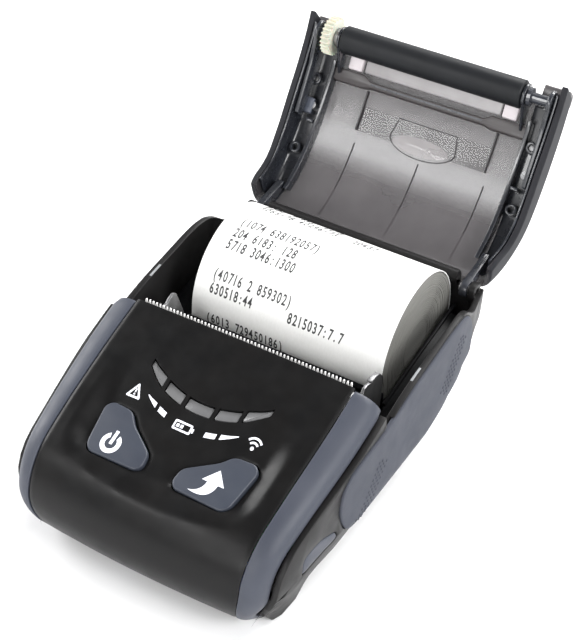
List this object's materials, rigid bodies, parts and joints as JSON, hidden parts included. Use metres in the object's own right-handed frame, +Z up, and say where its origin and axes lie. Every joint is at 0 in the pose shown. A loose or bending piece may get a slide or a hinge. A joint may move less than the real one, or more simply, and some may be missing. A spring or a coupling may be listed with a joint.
{
  "type": "receipt printer",
  "caption": "Portable thermal receipt printer with a hinged smoke-tinted lid open over a drop-in paper roll, slate trims, soft side grips and two shaped keys.",
  "frame": {"origin": "middle of the flat underside, where the printer rests, under the middle of its closed case", "axes": "+Z up, -Y towards the keys and the nose, +Y towards the lid's hinge, +X to the side with the connector flap"},
  "size_m": [0.0816, 0.1557, 0.0831],
  "materials": {
    "case_black": "fine spark-eroded black plastic with a satin sheen",
    "inner_black": "plain moulded black plastic",
    "slate_trim": "slate grey satin plastic",
    "slate_key": "slate grey keys with pale printed symbols",
    "slate_rubber": "slate grey soft rubber with a dotted grip field",
    "smoke": "smoke-tinted see-through plastic, glossy",
    "smoke_light": "pale smoke-tinted plastic",
    "steel": "bright rolled steel",
    "motor_metal": "zinc-plated motor can",
    "aluminium": "anodised plate",
    "ceramic": "glazed ceramic",
    "platen_rubber": "ground black rubber",
    "ivory": "ivory acetal",
    "paper": "smooth thermal paper",
    "board": "green solder-masked board",
    "battery": "blue shrink wrap"
  },
  "bodies": {
    "case": {"bottom_case": "case_black", "top_case": "case_black", "trim_left": "slate_trim", "trim_right": "slate_trim", "grip_left": "slate_rubber", "grip_right": "slate_rubber", "paper_bay": "inner_black", "key_board": "board", "key_switch_left": "steel", "key_switch_right": "steel", "lamp_bar": "ivory", "light_guide": "smoke_light", "main_board": "board", "usb_socket": "steel", "power_socket": "inner_black", "battery_pack": "battery", "case_screw_1": "steel", "case_screw_2": "steel", "case_screw_3": "steel", "case_screw_4": "steel", "output_axle": "steel", "reduction_axle": "steel", "stepper_motor": "motor_metal", "print_frame": "steel", "thermal_head": "ceramic", "heat_sink": "aluminium", "head_spring_left": "steel", "head_spring_right": "steel", "paper_guide": "inner_black", "paper_sensor": "inner_black", "tear_bar": "steel", "hinge_pin_left": "steel", "hinge_pin_right": "steel"},
    "lid": {"lid_shell": "smoke", "lid_frame": "inner_black", "paper_lip": "smoke_light", "finger_recess": "smoke", "lid_bracket_left": "inner_black", "lid_bracket_right": "inner_black", "hinge_arm_left": "inner_black", "hinge_arm_right": "inner_black", "lid_screw_left": "steel", "lid_screw_right": "steel"},
    "platen": {"platen_shaft": "steel", "platen_rubber": "platen_rubber", "platen_gear": "ivory", "platen_bush_left": "steel", "platen_bush_right": "steel"},
    "paper": {"paper_core": "paper", "paper_roll": "paper", "paper_tail": "paper"},
    "output_drive": {"output_gear": "ivory"},
    "reduction_drive": {"reduction_gear": "ivory"},
    "motor_drive": {"motor_pinion": "motor_metal"},
    "power_key": {"power_button": "slate_key"},
    "feed_key": {"feed_button": "slate_key"},
    "port_flap": {"port_cover": "slate_trim"},
    "battery_hatch": {"battery_door": "inner_black", "door_tab": "slate_trim"}
  },
  "joints": [
    {"name": "lid_hinge", "type": "hinge", "parent": "case", "child": "lid", "pos_m": [0, 0.0552, 0.037], "axis": [1, 0, 0], "range_deg": [0, 131]},
    {"name": "platen_spin", "type": "hinge", "parent": "lid", "child": "platen", "pos_m": [0, 0.09214, 0.07736], "axis": [1, 0, 0], "continuous": true},
    {"name": "paper_spin", "type": "hinge", "parent": "case", "child": "paper", "pos_m": [0, 0.0354, 0.0296], "axis": [1, 0, 0], "continuous": true},
    {"name": "output_spin", "type": "hinge", "parent": "case", "child": "output_drive", "pos_m": [-0.0317, -0.00256, 0.02697], "axis": [1, 0, 0], "continuous": true},
    {"name": "reduction_spin", "type": "hinge", "parent": "case", "child": "reduction_drive", "pos_m": [-0.0326, -0.00907, 0.03183], "axis": [1, 0, 0], "continuous": true},
    {"name": "motor_spin", "type": "hinge", "parent": "case", "child": "motor_drive", "pos_m": [-0.032, -0.0165, 0.0262], "axis": [1, 0, 0], "continuous": true},
    {"name": "power_press", "type": "slide", "parent": "case", "child": "power_key", "axis": [0, 0.3428, -0.9394], "range_m": [0, 0.0006], "stiffness_N_per_m": 600},
    {"name": "feed_press", "type": "slide", "parent": "case", "child": "feed_key", "axis": [0, 0.3428, -0.9394], "range_m": [0, 0.0006], "stiffness_N_per_m": 600},
    {"name": "port_cover_hinge", "type": "hinge", "parent": "case", "child": "port_flap", "pos_m": [0.03865, -0.0317, 0.0143], "axis": [0.0856, 0.9926, 0.0863], "range_deg": [0, 90]},
    {"name": "battery_door_hinge", "type": "hinge", "parent": "case", "child": "battery_hatch", "pos_m": [0, -0.0123, 0], "axis": [1, 0, 0], "range_deg": [0, 75]}
  ],
  "couplings": [
    {"joint": "motor_spin", "follows": "reduction_spin", "ratio": -3.6},
    {"joint": "output_spin", "follows": "reduction_spin", "ratio": -0.42857}
  ]
}
